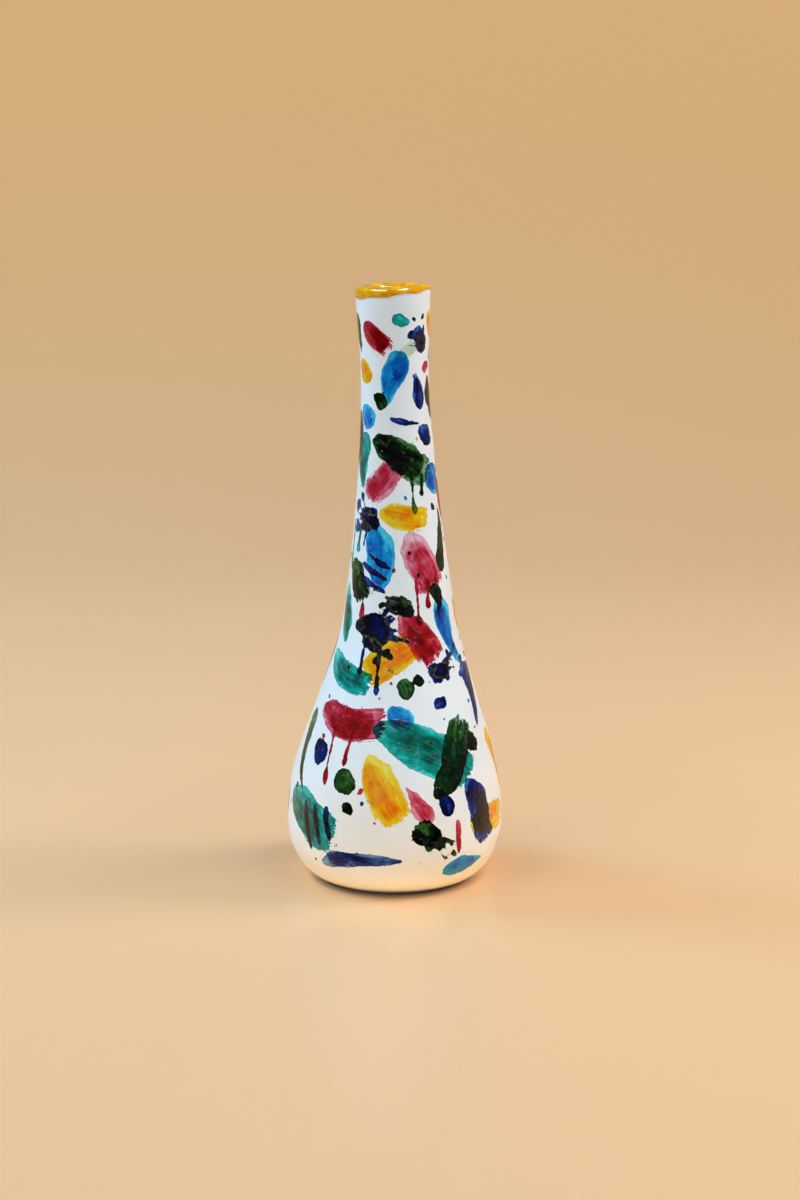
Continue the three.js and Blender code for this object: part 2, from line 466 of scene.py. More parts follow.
def splash(pigment, azimuth, height, size, turn, seed):
    """A blot flung on the glaze, with fingers that run out to one side and drops beyond them."""
    draw = random.Random(seed)
    made = [stroke(pigment, "blot", azimuth, height, size * 1.3, size, turn, load=1.5)]
    for _ in range(LOBES):
        place = offset(size * 0.45, draw.uniform(0, 360))
        made.append(stroke(pigment, "blot", azimuth, height, size * 0.7, size * 0.5, turn, 0, *place))
    for _ in range(FINGERS):
        way = turn + draw.gauss(0, FINGER_SPREAD)
        reach = size * draw.uniform(0.4, 1.3)
        width = max(FINGER_WIDTH, size * draw.uniform(0.1, 0.2))
        place = offset(size * 0.4 + reach / 2, way)
        made.append(stroke(pigment, "tail", azimuth, height, reach, width, way, 0, *place))
    drift = offset(size, turn)
    drops = spatter(pigment, azimuth, height, size, FLUNG, seed)
    return made + [drop._replace(right=drop.right + drift[0], up=drop.up + drift[1]) for drop in drops]


def spatter(pigment, azimuth, height, spread, count, seed):
    """Drops thrown off the brush, drawn out along the way that they flew."""
    draw = random.Random(seed)
    made = []
    for _ in range(count):
        turn = draw.uniform(0, 360)
        size = DROP_SIZE + DROP_SPREAD * draw.random() ** 2
        place = offset(spread * math.sqrt(draw.random()), turn)
        long = size * draw.uniform(1, DROP_STRETCH)
        made.append(stroke(pigment, "dab", azimuth, height, long, size, turn, 0, *place))
    return made


def neck_marks():
    """Marks on the narrow part of the neck, from the lip down."""
    return [
        *wash("crimson", "swipe", -32, 239, 17, 8, 44, 0, 1),
        stroke("teal", "dab", 12, 246, 8, 5, 72),
        *splash("cobalt", 52, 237, 6, 200, 2),
        *wash("yellow", "petal", 80, 243, 14, 7, 24, 0, 77),
        stroke("green", "petal", -76, 240, 18, 7, 10),
        *wash("sky", "petal", -4, 222, 24, 11, -14, 20, 3),
        *wash("cobalt", "petal", 42, 216, 16, 6, 188, 0, 4, 0.5),
        stroke("green", "leaf", 76, 212, 20, 7.5, 12, 0, load=1.3),
        *wash("yellow", "dab", -60, 224, 11, 8, 30, 0, 5),
        *wash("sky", "dab", -52, 205, 11, 8, 20, 0, 6),
        stroke("cobalt", "streak", 14, 203, 13, 2.6, 78, 20),
        stroke("green", "swipe", 22, 233, 11, 4.5, 128, 15, load=0.06),
        stroke("green", "dab", -26, 212, 8, 6, 40, load=1.3),
        stroke("crimson", "dab", 64, 226, 6, 4.4, 120),
        stroke("green", "swipe", -84, 196, 22, 9, -12, load=1.4),
    ]


def upper_marks():
    """Marks where the neck begins to widen."""
    return [
        *wash("green", "swipe", 8, 188, 30, 12, 56, 10, 7),
        *wash("crimson", "swipe", -14, 180, 27, 10, -38, 0, 8, 0.3),
        *drips("green", 22, 181, (17, 10), 2.4, 4.4),
        stroke("cobalt", "dab", 54, 197, 10, 7.5, 40, load=1.2),
        *wash("teal", "petal", -62, 186, 25, 9, 4, 25, 9),
        *wash("sky", "dab", 62, 178, 14, 10, 10, 0, 10),
        *splash("cobalt", -40, 161, 8, 250, 11),
        *wash("yellow", "swipe", 8, 163, 22, 9, 82, 0, 12),
        *wash("sky", "leaf", -24, 147, 32, 14, 12, -30, 13, 0.5),
        *comb("cobalt", -30, 139, 17, 2.6, 3, 5, 62),
        *wash("crimson", "swipe", 28, 144, 27, 13, 22, 0, 14, 0.35),
        *drips("crimson", 20, 136, (20, 13, 17), 2.5, 5.2),
        stroke("green", "tail", 66, 152, 29, 8, 172, 30, load=1.4),
        *drips("teal", -74, 160, (22, 14), 2.6, 5.5),
        stroke("crimson", "leaf", 84, 168, 22, 8, 8, load=1.2),
        stroke("green", "swipe", -54, 135, 20, 9, 28, 10, load=1.4),
    ]


def shoulder_marks():
    """The thick of the painting, where one colour runs over another."""
    return [
        *splash("cobalt", -26, 115, 13, 64, 15),
        *wash("yellow", "swipe", -2, 105, 34, 13, -52, 0, 16),
        *wash("crimson", "swipe", 20, 112, 26, 11, 30, 0, 17),
        *wash("teal", "swipe", -50, 95, 31, 10, 70, 25, 18),
        *wash("sky", "tail", 54, 112, 32, 12, 14, 40, 19),
        *splash("cobalt", 38, 97, 8, 110, 20),
        *splash("green", 2, 125, 8, 262, 21),
        *drips("cobalt", -18, 109, (22, 15), 2.6, -8),
        *wash("teal", "leaf", -70, 120, 27, 9, 20, 30, 22),
        stroke("green", "dab", 6, 91, 9, 7.5, 20, load=1.3),
        stroke("green", "dab", 17, 94, 5.5, 5, 60, load=1.3),
        stroke("cobalt", "dab", 33, 84, 7, 5, 110, load=1.2),
        stroke("green", "petal", 46, 128, 13, 6, 20, load=1.3),
        stroke("crimson", "streak", -42, 120, 13, 2.8, 4),
    ]


def belly_marks():
    """The largest marks, round the belly and down to the heel."""
    return [
        *wash("crimson", "swipe", -36, 76, 36, 13, 80, 20, 23),
        *drips("crimson", -44, 74, (26, 17), 2.7, 9),
        *wash("teal", "swipe", 20, 66, 50, 17, 66, -45, 24),
        stroke("green", "swipe", 37, 60, 38, 12, 150, 30, load=1.5),
        *wash("cobalt", "tail", 72, 84, 30, 11, -10, -40, 25),
        stroke("green", "tail", -72, 60, 38, 8, 16, 40),
        *wash("yellow", "swipe", -7, 50, 32, 13, 32, 20, 26),
        *wash("crimson", "petal", 13, 43, 19, 8, 208, 0, 27, 0.22),
        *wash("teal", "swipe", -54, 34, 36, 17, 64, 15, 28),
        *comb("cobalt", -46, 31, 22, 3.2, 3, 6.4, 12),
        *wash("cobalt", "swipe", 52, 37, 32, 12, 16, 0, 29),
        *wash("yellow", "swipe", 62, 32, 30, 11, 98, 0, 30),
        *wash("cobalt", "tail", -18, 19, 42, 9, 98, -20, 31, 0.4),
        *splash("green", 18, 31, 10, 60, 86),
        *wash("sky", "dab", 2, 79, 13, 9, 50, 0, 33),
        *wash("yellow", "tail", 82, 54, 30, 10, 8, 30, 34),
        *wash("sky", "petal", 42, 14, 22, 9, 92, 0, 35, 0.5),
        stroke("cobalt", "blot", -53, 62, 12, 9, 20, load=1.3),
        stroke("green", "dab", -30, 52, 12, 9.5, 30, load=1.3),
        stroke("green", "dab", -26, 41, 6, 5, 70, load=1.3),
        stroke("cobalt", "petal", 28, 44, 15, 7, 200, load=1.2),
        stroke("crimson", "streak", 36, 27, 16, 3, 4),
        stroke("green", "blot", 54, 66, 10, 8, 30, load=1.4),
    ]


def back_neck_marks():
    """Marks on the neck, round the back."""
    return [
        *wash("sky", "swipe", 108, 234, 19, 9, -30, 0, 41),
        stroke("crimson", "petal", 140, 246, 12, 6, 60),
        *wash("green", "leaf", 162, 230, 22, 9, 12, 25, 42),
        stroke("yellow", "dab", -164, 247, 9, 6, 100),
        *wash("teal", "swipe", -134, 233, 22, 10, 40, 0, 43),
        stroke("cobalt", "petal", -104, 245, 12, 6, -20),
        *wash("yellow", "petal", 118, 211, 19, 9, 170, 0, 44),
        *splash("crimson", 152, 206, 7, 40, 45),
        *comb("cobalt", -172, 212, 15, 2.6, 3, 4.2, 30),
        *wash("crimson", "dab", -140, 207, 12, 8, 10, 0, 46, 0.4),
        stroke("green", "tail", -106, 216, 24, 7, 8, 20, load=1.3),
        *wash("cobalt", "leaf", 104, 184, 28, 10, -8, 20, 47),
        *wash("teal", "swipe", 142, 182, 28, 12, 60, 0, 48),
        *drips("teal", 150, 176, (18, 11), 2.5, 4.6),
        *wash("crimson", "petal", -172, 186, 24, 10, -20, 0, 49, 0.45),
        stroke("green", "dab", -144, 194, 12, 9, 30, load=1.2),
        *wash("sky", "swipe", -112, 180, 26, 11, -36, 0, 50),
        *wash("yellow", "swipe", 110, 155, 25, 11, 24, 15, 51),
        *splash("crimson", 140, 150, 8, 70, 52),
        *wash("sky", "leaf", 174, 152, 30, 13, -14, 30, 53, 0.5),
        *wash("green", "swipe", -150, 160, 28, 12, 24, 0, 54),
        *drips("green", -148, 150, (20, 12, 16), 2.5, 3.6),
        *wash("crimson", "tail", -110, 150, 30, 10, 6, -30, 55, 0.5),
    ]


def back_belly_marks():
    """Marks on the shoulder and the belly, round the back."""
    return [
        *wash("yellow", "petal", 92, 114, 24, 11, 16, 20, 56),
        *splash("green", 120, 104, 11, 300, 57),
        *wash("crimson", "swipe", 142, 119, 30, 12, 48, 0, 58),
        *wash("cobalt", "swipe", 168, 104, 32, 12, -40, 20, 59),
        *wash("yellow", "swipe", -166, 120, 26, 12, 62, 0, 60),
        *splash("cobalt", -140, 99, 9, 62, 20),
        *wash("sky", "swipe", -118, 112, 30, 12, 28, -20, 62),
        *wash("green", "leaf", -94, 98, 30, 10, -10, 25, 63),
        *wash("teal", "swipe", 104, 66, 44, 15, 20, 30, 64),
        *wash("crimson", "swipe", 134, 76, 38, 14, 84, -20, 65),
        *drips("crimson", 130, 72, (24, 15), 2.7, 8),
        stroke("cobalt", "swipe", 150, 54, 40, 13, 24, -30, load=1.2),
        *wash("sky", "swipe", 178, 78, 40, 14, 62, 15, 66),
        *wash("yellow", "swipe", -174, 50, 36, 14, -50, 0, 67),
        *splash("green", -148, 66, 13, 250, 68),
        *wash("teal", "leaf", -124, 76, 38, 14, -24, 30, 69),
        *wash("crimson", "petal", -104, 66, 28, 12, 14, 0, 70, 0.4),
        *wash("yellow", "tail", 114, 32, 34, 11, 70, 30, 71),
        *wash("green", "swipe", 146, 25, 36, 12, 100, 0, 72),
        *comb("cobalt", 172, 26, 20, 3.2, 3, 6.2, -20),
        *wash("crimson", "tail", -162, 19, 38, 10, 84, 20, 73, 0.42),
        *wash("sky", "dab", -136, 36, 24, 15, 40, 0, 74),
        stroke("green", "tail", -112, 34, 36, 9, 20, -40),
        *wash("cobalt", "petal", -92, 30, 24, 10, -14, 0, 75, 0.7),
        *wash("teal", "petal", 94, 16, 26, 10, 96, 0, 76),
    ]


def flung_drops():
    """Small drops of every colour that fell all over, most of them low on the belly."""
    low, high, most = 12, 240, 60
    count = 60
    draw = random.Random(36)
    made = []
    for half_turn in (0, 180):
        for _ in range(count):
            size = 1.2 + 1.6 * draw.random() ** 3
            azimuth = half_turn + draw.uniform(-90, 90)
            height = draw.triangular(low, high, most)
            pigment = draw.choice(PIGMENTS)
            long = size * draw.uniform(1, 1.6)
            made.append(stroke(pigment, "dab", azimuth, height, long, size, draw.uniform(-40, 40)))
    return made


def brushwork():
    """Every mark on the bottle."""
    front = [*neck_marks(), *upper_marks(), *shoulder_marks(), *belly_marks()]
    back = [*back_neck_marks(), *back_belly_marks()]
    return [*front, *flung_drops(), *back]


def half_width(kind, t):
    """A mark's half-width along the stroke, as a share of its widest, from its head at 0 to its tail at 1."""
    t = np.clip(t, 0, 1)
    if kind in ("dab", "blot"):
        return np.sqrt(1 - (2 * t - 1) ** 2)
    if kind == "leaf":
        return np.sin(np.pi * t) ** 0.8
    if kind == "petal":
        # Widest before its middle
        return np.sin(np.pi * t**0.62) ** 0.9
    if kind == "tail":
        # A round head, then thinner all the way
        return np.sqrt(np.minimum(1, t / 0.16)) * (1 - t) ** 0.7
    if kind == "swipe":
        # A round head, nearly even sides and a blunt end
        ends = np.sqrt(np.minimum(t / 0.22, (1 - t) / 0.06))
        return np.minimum(1, ends) * (1 - 0.12 * np.cos(5 * t))
    if kind == "streak":
        return np.sqrt(np.sin(np.pi * t**0.8))
    if kind == "drip":
        # Half as wide down to the drop near its end
        closed = np.sqrt(np.minimum(1, np.minimum(t / 0.05, (1 - t) / 0.1)))
        return closed * (0.5 + 0.5 * np.exp(-(((t - 0.86) / 0.13) ** 2)))
    raise ValueError(f"no brush mark is called {kind}")


# How far the fired colour crept at a mark's edge, in millimetres
CREEP = {"blot": 0.8, "drip": 0.15, "swipe": 0.35}
OTHER_CREEP = 0.25

# How far the bristles tear a mark's edge at its head and at its tail, in millimetres
DRYNESS = {
    "dab": (0.15, 0.25),
    "blot": (0.0, 0.0),
    "leaf": (0.15, 0.4),
    "petal": (0.15, 0.35),
    "tail": (0.15, 0.6),
    "swipe": (0.25, 1.9),
    "streak": (0.2, 0.5),
    "drip": (0.05, 0.05),
}


def touch(mark, right, up):
    """How a mark lies at places on the surface: the distance to its edge, negative inside, and where each
    place is across and along the stroke, all in millimetres, and along it as a share."""
    turn = math.radians(mark.turn)
    right = right - mark.right
    up = up - mark.up
    along = right * math.sin(turn) - up * math.cos(turn)
    across = right * math.cos(turn) + up * math.sin(turn)
    if mark.bend:
        # Round the centre of the bow that the brush followed
        side = math.copysign(1, mark.bend)
        bow = mark.length / math.radians(abs(mark.bend))
        away = bow - across * side
        across = (bow - np.hypot(along, away)) * side
        along = bow * np.arctan2(along, away)
    t = along / mark.length + 0.5
    half = mark.width / 2
    # The hand sways, more so in a broad stroke
    across = across + HAND_SWAY * mark.width * np.sin(HAND_WAVES * t + mark.turn)
    nib = 0.01
    change = half_width(mark.kind, t + nib) - half_width(mark.kind, t - nib)
    slope = half * change / (2 * nib * mark.length)
    beside = (np.abs(across) - half * half_width(mark.kind, t)) / np.hypot(1, slope)
    past = np.abs(along) - mark.length / 2
    outside = np.hypot(np.maximum(beside, 0), np.maximum(past, 0))
    edge = np.where(outside > 0, outside, np.maximum(beside, past))
    if mark.kind == "swipe":
        # The brush runs dry towards the tail, so the coat there is too thin to close over
        dry_share = 0.55
        edge = np.maximum(edge, -half * np.clip((1 - t) / dry_share, 0, 1))
    return edge, across, along, np.clip(t, 0, 1)


def outline_ways(shape):
    """Heights, radii and surface lengths along the white glaze's shown face, in millimetres."""
    places = []
    for run in [outside_heel(shape), *wall_runs(shape), lip_arc(shape, 0, 0, UPRIGHT)]:
        for t in np.linspace(0, 1, 24):
            s = 1 - t
            weights = (s**3, 3 * s * s * t, 3 * s * t * t, t**3)
            places.append([sum(w * p[axis] for w, p in zip(weights, run)) / MM for axis in (0, 1)])
    radii, heights = np.array(places).T
    ways = np.concatenate([[0], np.cumsum(np.hypot(np.diff(radii), np.diff(heights)))])
    return heights, radii, ways


def paint(piece, shape):
    """Writes the brush marks onto the glaze as attributes. For each stain, the first holds how far a place
    lies from the nearest mark's edge and where it is across and along that stroke. The second holds the
    coat's thickness, how far the bristles tear the edge, a number of the stroke's own, and how far the
    edge crept."""
    mesh = piece.data
    x, y, z = points_of(piece).T / MM
    heights, _, ways = outline_ways(shape)
    way = np.interp(z, heights, ways)
    radius = np.hypot(x, y)
    azimuth = np.arctan2(x, -y)
    strokes = {name: np.tile((FAR, 0.0, 0.0), (len(z), 1)) for name in PIGMENTS}
    coats = {name: np.zeros((len(z), 4)) for name in PIGMENTS}
    heaped = {name: np.zeros(len(z)) for name in PIGMENTS}
    for order, mark in enumerate(brushwork()):
        side = np.mod(azimuth - math.radians(mark.azimuth) + math.pi, math.tau) - math.pi
        right = side * radius
        up = way - np.interp(mark.height, heights, ways)
        reach = mark.length / 2 + mark.width + MARGIN
        near = np.flatnonzero((np.abs(right - mark.right) < reach) & (np.abs(up - mark.up) < reach))
        edge, across, along, t = touch(mark, right[near], up[near])
        # A number between 0 and 1 that differs from stroke to stroke
        own = (0.37 + order * 0.618) % 1
        grade = 1 if order % 3 else -1
        coat = mark.load * (COAT_LEAST + COAT_SPREAD * own) * (1 + COAT_GRADE * grade * (2 * t - 1))
        head, tail = DRYNESS[mark.kind]
        dry = head + (tail - head) * t
        creep = np.full_like(coat, CREEP.get(mark.kind, OTHER_CREEP))
        old = strokes[mark.pigment][near, 0]
        # Wet marks of one colour run into each other where they meet
        meet = np.maximum(RUN_TOGETHER - np.abs(old - edge), 0) / RUN_TOGETHER
        joined = np.minimum(old, edge) - meet**2 * RUN_TOGETHER / 4
        nearer = edge < old
        strokes[mark.pigment][near, 0] = joined
        strokes[mark.pigment][near[nearer], 1:] = np.column_stack([across, along])[nearer]
        laid = np.column_stack([coat, dry, np.full_like(coat, own), creep])
        coats[mark.pigment][near[nearer]] = laid[nearer]
        heaped[mark.pigment][near] += np.clip(0.5 - edge / SOFT_EDGE, 0, 1) * coat
    for name in PIGMENTS:
        coats[name][:, 0] = np.maximum(coats[name][:, 0], heaped[name])
        attribute = mesh.attributes.new("stroke_" + name, "FLOAT_VECTOR", "POINT")
        attribute.data.foreach_set("vector", strokes[name].astype(np.float32).ravel())
        attribute = mesh.attributes.new("coat_" + name, "FLOAT_COLOR", "POINT")
        attribute.data.foreach_set("color", coats[name].astype(np.float32).ravel())


def unroll(piece, shape):
    """Lays the glaze out flat for baking: once round the bottle across, and up its shown face, with the
    face against the clay and the two edges in a strip along the top."""
    mesh = piece.data
    heights, radii, ways = outline_ways(shape)
    strip = 0.95  # where the strip begins
    strip_fill = 0.9  # how much of the strip is filled
    skin = 0.25  # millimetres, less than the glaze is thick
    corners = np.empty(len(mesh.loops), dtype=np.int32)
    mesh.loops.foreach_get("vertex_index", corners)
    starts = np.empty(len(mesh.polygons), dtype=np.int32)
    mesh.polygons.foreach_get("loop_start", starts)
    counts = np.diff(np.append(starts, len(corners)))
    x, y, z = points_of(piece)[corners].T / MM
    turns = np.arctan2(x, -y) / math.tau + 0.5
    widths = np.maximum.reduceat(turns, starts) - np.minimum.reduceat(turns, starts)
    # Faces that cross the seam at the back go on past the right edge
    across = np.where(np.repeat(widths > 0.5, counts) & (turns < 0.5), turns + 1, turns)
    sunk = np.interp(z, heights, radii) - np.hypot(x, y)
    shown = np.repeat(np.maximum.reduceat(sunk, starts) < skin, counts)
    rise = np.interp(z, heights, ways) / ways[-1]
    up = np.where(shown, rise * strip, 1 - rise * (1 - strip) * strip_fill)
    layer = mesh.uv_layers.new(name="OFBake")
    layer.uv.foreach_set("vector", np.column_stack([across, up]).astype(np.float32).ravel())


def add_node(tree, kind, inputs=None, **settings):
    """Adds a node with its settings. An input is a value, another node (its first output) or an output."""
    made = tree.nodes.new("ShaderNode" + kind)
    for key, value in settings.items():
        setattr(made, key, value)
    for key, value in (inputs or {}).items():
        socket = made.inputs[key]
        if isinstance(value, bpy.types.Node):
            value = value.outputs[0]
        if isinstance(value, bpy.types.NodeSocket):
            tree.links.new(value, socket)
        else:
            socket.default_value = value
    return made


def new_material(name):
    """A node material with nothing in it yet."""
    material = bpy.data.materials.new(name)
    material.use_nodes = True
    material.node_tree.nodes.clear()
    return material, material.node_tree


# Most of a noise's range, for Map Range: as it is, and spread from below zero to above it
NOISE = {1: 0.3, 2: 0.7}
CENTRED = {**NOISE, 3: -0.5, 4: 0.5}


def absorbance(stain):
    """What a stain takes out of the light, from the colour that one coat of it gives to white."""
    darkest = 0.002
    return tuple(math.log(max(share, darkest)) for share in stain[:3])


def white_tin_glaze(colours):
    """Opaque white glaze under brushed stains. The white has a soft gloss and a faint cloud. Each stain
    filters the white as tinted glass does, so thick coats and crossings go deep and dark, and thin ones
    stay clear. Edges are crisp, bristle lines run along the strokes, and thick colour stands up and
    shines."""
    bristle_width, bristle_length = 0.9, 12.0  # millimetres
    hand_wobble = 0.9  # millimetres
    material, tree = new_material("white_tin_glaze")
    place = add_node(tree, "TexCoord").outputs["Object"]
    cloud = add_node(tree, "TexNoise", {"Vector": place, "Scale": 1 / (14 * MM), "Detail": 3.0})
    ragged = add_node(tree, "TexNoise", {"Vector": place, "Scale": 1 / (1.3 * MM), "Detail": 2.0})
    wobble = add_node(tree, "TexNoise", {"Vector": place, "Scale": 1 / (5 * MM), "Detail": 2.0})
    ragged_parts = add_node(tree, "SeparateColor", {0: ragged.outputs["Color"]}).outputs
    wobble_parts = add_node(tree, "SeparateColor", {0: wobble.outputs["Color"]}).outputs
    tones = {"Factor": cloud, "A": tuple(colours.white_thin), "B": tuple(colours.white)}
    clouded = add_node(tree, "Mix", tones, data_type="RGBA").outputs["Result"]
    # A few specks of iron in the white
    iron = add_node(tree, "TexVoronoi", {"Vector": place, "Scale": 1 / (11 * MM)})
    specks = add_node(tree, "MapRange", {0: iron.outputs["Distance"], 1: 0.04, 2: 0.02, 4: 0.6})
    tones = {"Factor": specks, "A": clouded, "B": tuple(colours.clay_dark)}
    white = add_node(tree, "Mix", tones, data_type="RGBA").outputs["Result"]
    for order, name in enumerate(PIGMENTS):
        stroke_at = add_node(tree, "Attribute", attribute_name="stroke_" + name).outputs["Vector"]
        coat_at = add_node(tree, "Attribute", attribute_name="coat_" + name).outputs
        edge, across, along = add_node(tree, "SeparateXYZ", {0: stroke_at}).outputs
        coat, dry, own = add_node(tree, "SeparateColor", {0: coat_at["Color"]}).outputs
        # Bristle lines: close together across the stroke and long along it
        line_across = add_node(tree, "Math", {0: across, 1: 1 / bristle_width}, operation="MULTIPLY")
        line_along = add_node(tree, "Math", {0: along, 1: 1 / bristle_length}, operation="MULTIPLY")
        bundle = add_node(tree, "Math", {0: own, 1: 97.0}, operation="MULTIPLY")
        brush = add_node(tree, "CombineXYZ", {"X": line_across, "Y": line_along, "Z": bundle})
        grain = {"Vector": brush, "Scale": 1.0, "Detail": 2.0, "Roughness": 0.55}
        lines = add_node(tree, "MapRange", {0: add_node(tree, "TexNoise", grain), **CENTRED})
        # The edge in millimetres, moved by the hand, torn by the bristles and roughened by the white below
        hand = add_node(tree, "MapRange", {0: wobble_parts[order % 3], **CENTRED})
        rough = add_node(tree, "MapRange", {0: ragged_parts[order % 3], **CENTRED})
        moved = add_node(tree, "Math", {0: hand, 1: hand_wobble, 2: edge}, operation="MULTIPLY_ADD")
        torn = add_node(tree, "Math", {0: lines, 1: dry, 2: moved}, operation="MULTIPLY_ADD")
        rim = add_node(tree, "Math", {0: rough, 1: coat_at["Alpha"], 2: torn}, operation="MULTIPLY_ADD")
        cover = add_node(tree, "MapRange", {0: rim, 1: 0.08, 2: -0.12}, interpolation_type="SMOOTHSTEP")
        # The coat's thickness: the brush's load, its lines, its unevenness, and a pooled rim
        pooled = add_node(tree, "MapRange", {0: rim, 1: -1.3, 2: -0.1, 3: 1.0, 4: 1.35})
        lined = add_node(tree, "Math", {0: lines, 1: 0.6, 2: pooled}, operation="MULTIPLY_ADD")
        uneven = add_node(tree, "Math", {0: hand, 1: 0.7, 2: lined}, operation="MULTIPLY_ADD")
        least = add_node(tree, "Math", {0: uneven, 1: 0.3}, operation="MAXIMUM")
        loaded = add_node(tree, "Math", {0: least, 1: coat}, operation="MULTIPLY")
        covered = add_node(tree, "Math", {0: loaded, 1: cover}, operation="MULTIPLY")
        # Pinholes, in patches, where thick colour drew back from the glaze
        holes = add_node(tree, "MapRange", {0: ragged_parts[(order + 1) % 3], 1: 0.57, 2: 0.7})
        patches = add_node(tree, "MapRange", {0: wobble_parts[(order + 2) % 3], 1: 0.5, 2: 0.64, 4: 0.65})
        lost = add_node(tree, "Math", {0: holes, 1: patches}, operation="MULTIPLY")
        kept = add_node(tree, "Math", {0: 1.0, 1: lost}, operation="SUBTRACT")
        thick = add_node(tree, "Math", {0: covered, 1: kept}, operation="MULTIPLY")
        taken = {0: absorbance(getattr(colours, name)), "Scale": thick}
        filtered = add_node(tree, "VectorMath", taken, operation="SCALE")
        if order == 0:
            filters, relief = filtered, thick
        else:
            filters = add_node(tree, "VectorMath", {0: filters, 1: filtered}, operation="ADD")
            relief = add_node(tree, "Math", {0: relief, 1: thick}, operation="ADD")
    parts = add_node(tree, "SeparateXYZ", {0: filters}).outputs
    left = [add_node(tree, "Math", {0: share}, operation="EXPONENT") for share in parts]
    through = add_node(tree, "CombineXYZ", dict(enumerate(left)))
    picture = add_node(tree, "VectorMath", {0: white, 1: through}, operation="MULTIPLY")
    # Thick colour stands up in lumps, and shines more than the white
    grit = add_node(tree, "MapRange", {0: ragged, **NOISE, 4: 0.6})
    lumpy = add_node(tree, "Math", {0: relief, 1: grit}, operation="MULTIPLY")
    raised = add_node(tree, "Math", {0: relief, 1: lumpy}, operation="ADD")
    lumps = add_node(tree, "Math", {0: cloud, 1: 1.6, 2: raised}, operation="MULTIPLY_ADD")
    bump = add_node(tree, "Bump", {"Height": lumps, "Strength": 0.6, "Distance": 0.09 * MM})
    gloss = add_node(tree, "MapRange", {0: relief, 2: 1.5, 3: 0.3, 4: 0.16})
    finish = {"Base Color": picture, "Roughness": gloss, "IOR": 1.5, "Normal": bump}
    add_node(tree, "OutputMaterial", {"Surface": add_node(tree, "BsdfPrincipled", finish)})
    return material


def plain_white_glaze(colours):
    """Poured white glaze: smooth, glossy and faintly uneven, with no decoration."""
    material, tree = new_material("poured_white_glaze")
    place = add_node(tree, "TexCoord").outputs["Object"]
    cloud = add_node(tree, "TexNoise", {"Vector": place, "Scale": 1 / (11 * MM), "Detail": 3.0})
    tones = {"Factor": cloud, "A": tuple(colours.lining), "B": tuple(colours.white)}
    shade = add_node(tree, "Mix", tones, data_type="RGBA").outputs["Result"]
    bump = add_node(tree, "Bump", {"Height": cloud, "Strength": 0.5, "Distance": 0.1 * MM})
    gloss = add_node(tree, "MapRange", {0: cloud, **NOISE, 3: 0.16, 4: 0.28})
    finish = {"Base Color": shade, "Roughness": gloss, "IOR": 1.5, "Normal": bump}
    add_node(tree, "OutputMaterial", {"Surface": add_node(tree, "BsdfPrincipled", finish)})
    return material


def yellow_lip_glaze(colours):
    """Yellow glaze brushed on thick: very glossy, amber where it pooled and clear yellow where the brush
    dragged it thin, with the drag going round the mouth."""
    material, tree = new_material("yellow_lip_glaze")
    place = add_node(tree, "TexCoord").outputs["Object"]
    drag = add_node(tree, "Mapping", {"Vector": place, "Scale": (1, 1, 3.2)})
    grain = {"Vector": drag, "Scale": 1 / (5 * MM), "Detail": 4.0, "Roughness": 0.6}
    pools = add_node(tree, "TexNoise", grain)
    depth = add_node(tree, "MapRange", {0: pools, 1: 0.36, 2: 0.66})
    tones = {"Factor": depth, "A": tuple(colours.lip_thin), "B": tuple(colours.lip_thick)}
    shade = add_node(tree, "Mix", tones, data_type="RGBA").outputs["Result"]
    bump = add_node(tree, "Bump", {"Height": pools, "Strength": 0.7, "Distance": 0.35 * MM})
    gloss = add_node(tree, "MapRange", {0: pools, **NOISE, 3: 0.03, 4: 0.06})
    finish = {"Base Color": shade, "Roughness": gloss, "IOR": 1.6, "Normal": bump}
    add_node(tree, "OutputMaterial", {"Surface": add_node(tree, "BsdfPrincipled", finish)})
    return material


def bare_earthenware(colours):
    """Bare fired earthenware: matt and dry, with fine grit, and the rings that the turning tool left."""
    ring_spacing = 1.6 * MM
    wave_scale = 0.314  # scale at which the wave's rings are one unit apart
    material, tree = new_material("bare_earthenware")
    place = add_node(tree, "TexCoord").outputs["Object"]
    grit = add_node(tree, "TexNoise", {"Vector": place, "Scale": 1 / (0.8 * MM), "Detail": 3.0})
    damp = add_node(tree, "TexNoise", {"Vector": place, "Scale": 1 / (9 * MM), "Detail": 2.0})
    tooling = {"Vector": place, "Scale": wave_scale / ring_spacing, "Distortion": 1.2, "Detail": 2.0}
    rings = add_node(tree, "TexWave", tooling, wave_type="RINGS", rings_direction="Z").outputs["Fac"]
    blend = add_node(tree, "Math", {0: grit, 1: damp}, operation="MULTIPLY")
    dark = add_node(tree, "MapRange", {0: blend, 1: 0.15, 2: 0.42, 4: 0.8})
    tones = {"Factor": dark, "A": tuple(colours.clay), "B": tuple(colours.clay_dark)}
    shade = add_node(tree, "Mix", tones, data_type="RGBA").outputs["Result"]
    height = add_node(tree, "Math", {0: grit, 1: 0.4, 2: rings}, operation="MULTIPLY_ADD")
    bump = add_node(tree, "Bump", {"Height": height, "Strength": 0.6, "Distance": 0.12 * MM})
    finish = {"Base Color": shade, "Roughness": 0.88, "Normal": bump}
    add_node(tree, "OutputMaterial", {"Surface": add_node(tree, "BsdfPrincipled", finish)})
    return material


def finish_piece(piece, material, node):
    """Dresses a piece and ties it to the frame."""
    piece.data.materials.clear()
    piece.data.materials.append(material)
    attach(piece, "root")
    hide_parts(node)


